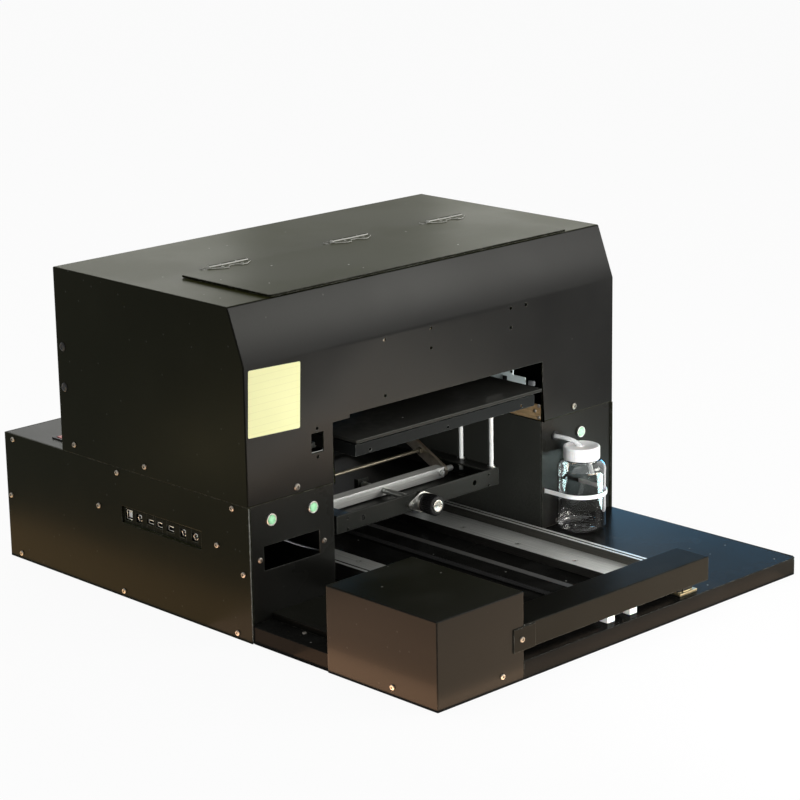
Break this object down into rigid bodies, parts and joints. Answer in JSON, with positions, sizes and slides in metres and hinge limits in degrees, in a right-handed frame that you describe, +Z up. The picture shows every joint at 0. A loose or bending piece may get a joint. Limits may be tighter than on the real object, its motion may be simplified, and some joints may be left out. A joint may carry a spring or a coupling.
{
  "type": "flatbed printer",
  "caption": "Flatbed printer with a folded black steel base and hood, a lidded print head bay, and a rolling table raised by a knob-driven scissor lift.",
  "frame": {"origin": "on the floor, in the middle of the footprint", "axes": "+Z up, the front with the drive box and bottle faces -Y, +X to the right seen from the front"},
  "size_m": [0.644, 0.797, 0.4108],
  "materials": {
    "black_coat": "satin black powder coat",
    "gloss_black": "gloss black anodised plate",
    "dark_steel": "black enamel",
    "bright_steel": "ground and polished",
    "plated_steel": "nickel plated",
    "aluminium": "mill finish, brushed",
    "amber_steel": "yellow passivated steel",
    "bronze_steel": "yellow passivated steel, dulled",
    "brass": "machined",
    "white_nylon": "white nylon",
    "white_plastic": "white moulded plastic",
    "black_plastic": "black moulded plastic",
    "grey_nylon": "grey nylon",
    "belt_rubber": "ribbed belt",
    "clear_plastic": "clear moulded plastic",
    "clear_tube": "clear soft tube",
    "green_lens": "lit green lens",
    "red_plastic": "red moulded plastic",
    "grey_cover": "dark grey moulded cover"
  },
  "bodies": {
    "base": {"base_pan": "black_coat", "deck_plate": "black_coat", "cable_cover": "black_coat", "left_side_panel": "black_coat", "right_side_panel": "black_coat", "rear_panel": "black_coat", "left_front_panel": "black_coat", "right_front_panel": "black_coat", "left_column_liner": "black_coat", "right_column_liner": "black_coat", "hood_shell": "black_coat", "lid_hinges": "plated_steel", "drive_box_cover": "black_coat", "front_beam": "black_coat", "table_motor": "dark_steel", "shaft_blocks": "white_nylon", "end_bearing": "brass", "idler_bracket": "bright_steel", "table_belt": "belt_rubber", "table_rails": "aluminium", "engine_brackets": "amber_steel", "engine_beam": "dark_steel", "head_rail": "bright_steel", "head_drive": "dark_steel", "waste_bottle": "clear_plastic", "bottle_cap": "white_plastic", "bottle_strap": "white_plastic", "waste_tube": "clear_tube", "button_bezels": "plated_steel", "electronics": "black_plastic", "screw_heads": "plated_steel"},
    "lid": {"top_lid": "black_coat", "lid_leaves": "plated_steel"},
    "table": {"carriage_tray": "black_coat", "tray_bushes": "plated_steel", "truck_legs": "dark_steel", "belt_clamp": "aluminium", "rear_pivot_shaft": "bright_steel", "knob_bearing": "plated_steel"},
    "front_wheels": {"front_wheels": "grey_nylon"},
    "rear_wheels": {"rear_wheels": "grey_nylon"},
    "drive": {"drive_shaft": "bright_steel"},
    "idler": {"idler_pulley": "bright_steel"},
    "platen": {"platen_top": "gloss_black", "platen_frame": "black_coat", "guide_posts": "plated_steel"},
    "nut_bar": {"nut_bar": "aluminium"},
    "front_arms": {"front_arms": "bronze_steel", "arm_rods": "brass"},
    "rear_arms": {"rear_arms": "bronze_steel"},
    "knob": {"lift_knob": "black_plastic", "knob_cap": "plated_steel", "lift_screw": "bright_steel"},
    "head": {"head_carriage": "grey_cover", "print_head": "bright_steel", "uv_lamp": "aluminium"},
    "left_button": {"left_button": "green_lens"},
    "middle_button": {"middle_button": "green_lens"},
    "right_button": {"right_button": "green_lens"},
    "power_rocker": {"power_rocker": "red_plastic"}
  },
  "joints": [
    {"name": "lid_hinge", "type": "hinge", "parent": "base", "child": "lid", "pos_m": [0, 0.1048, 0.4078], "axis": [-1, 0, 0], "range_deg": [0, 105]},
    {"name": "table_slide", "type": "slide", "parent": "base", "child": "table", "axis": [0, 1, 0], "range_m": [-0.32, 0.14]},
    {"name": "front_wheel_roll", "type": "hinge", "parent": "table", "child": "front_wheels", "pos_m": [0, 0.06, 0.0477], "axis": [1, 0, 0], "range_deg": [-600, 1330]},
    {"name": "rear_wheel_roll", "type": "hinge", "parent": "table", "child": "rear_wheels", "pos_m": [0, 0.18, 0.0477], "axis": [1, 0, 0], "range_deg": [-600, 1330]},
    {"name": "drive_turn", "type": "hinge", "parent": "base", "child": "drive", "pos_m": [0, -0.37, 0.033], "axis": [1, 0, 0], "range_deg": [-950, 2100]},
    {"name": "idler_turn", "type": "hinge", "parent": "base", "child": "idler", "pos_m": [0, 0.368, 0.033], "axis": [1, 0, 0], "range_deg": [-950, 2100]},
    {"name": "table_lift", "type": "slide", "parent": "table", "child": "platen", "axis": [0, 0, 1], "range_m": [-0.025, 0.01]},
    {"name": "nut_slide", "type": "slide", "parent": "table", "child": "nut_bar", "axis": [0, 1, 0], "range_m": [-0.012, 0.006]},
    {"name": "front_arm_swing", "type": "hinge", "parent": "nut_bar", "child": "front_arms", "pos_m": [0, 0.03, 0.0945], "axis": [1, 0, 0], "range_deg": [-9, 4]},
    {"name": "rear_arm_swing", "type": "hinge", "parent": "table", "child": "rear_arms", "pos_m": [0, 0.20642, 0.0945], "axis": [-1, 0, 0], "range_deg": [-9, 4]},
    {"name": "knob_turn", "type": "hinge", "parent": "table", "child": "knob", "pos_m": [0, -0.0445, 0.0945], "axis": [0, 1, 0], "range_deg": [-1100, 450]},
    {"name": "head_slide", "type": "slide", "parent": "base", "child": "head", "axis": [1, 0, 0], "range_m": [-0.36, 0.04]},
    {"name": "left_push", "type": "slide", "parent": "base", "child": "left_button", "axis": [0, 1, 0], "range_m": [0, 0.002], "stiffness_N_per_m": 300},
    {"name": "middle_push", "type": "slide", "parent": "base", "child": "middle_button", "axis": [0, 1, 0], "range_m": [0, 0.002], "stiffness_N_per_m": 300},
    {"name": "right_push", "type": "slide", "parent": "base", "child": "right_button", "axis": [0, 1, 0], "range_m": [0, 0.002], "stiffness_N_per_m": 300},
    {"name": "rocker_rock", "type": "hinge", "parent": "base", "child": "power_rocker", "pos_m": [-0.287, 0.3065, 0.168], "axis": [1, 0, 0], "range_deg": [0, 12]}
  ],
  "couplings": [
    {"joint": "front_wheel_roll", "follows": "table_slide", "rad_per_m": -71.429},
    {"joint": "rear_wheel_roll", "follows": "table_slide", "rad_per_m": -71.429},
    {"joint": "drive_turn", "follows": "table_slide", "rad_per_m": -112.36},
    {"joint": "idler_turn", "follows": "table_slide", "rad_per_m": -112.36},
    {"joint": "nut_slide", "follows": "table_lift", "ratio": 0.455},
    {"joint": "front_arm_swing", "follows": "table_lift", "rad_per_m": 5.58},
    {"joint": "rear_arm_swing", "follows": "table_lift", "rad_per_m": 5.58},
    {"joint": "knob_turn", "follows": "table_lift", "rad_per_m": 714.71}
  ]
}
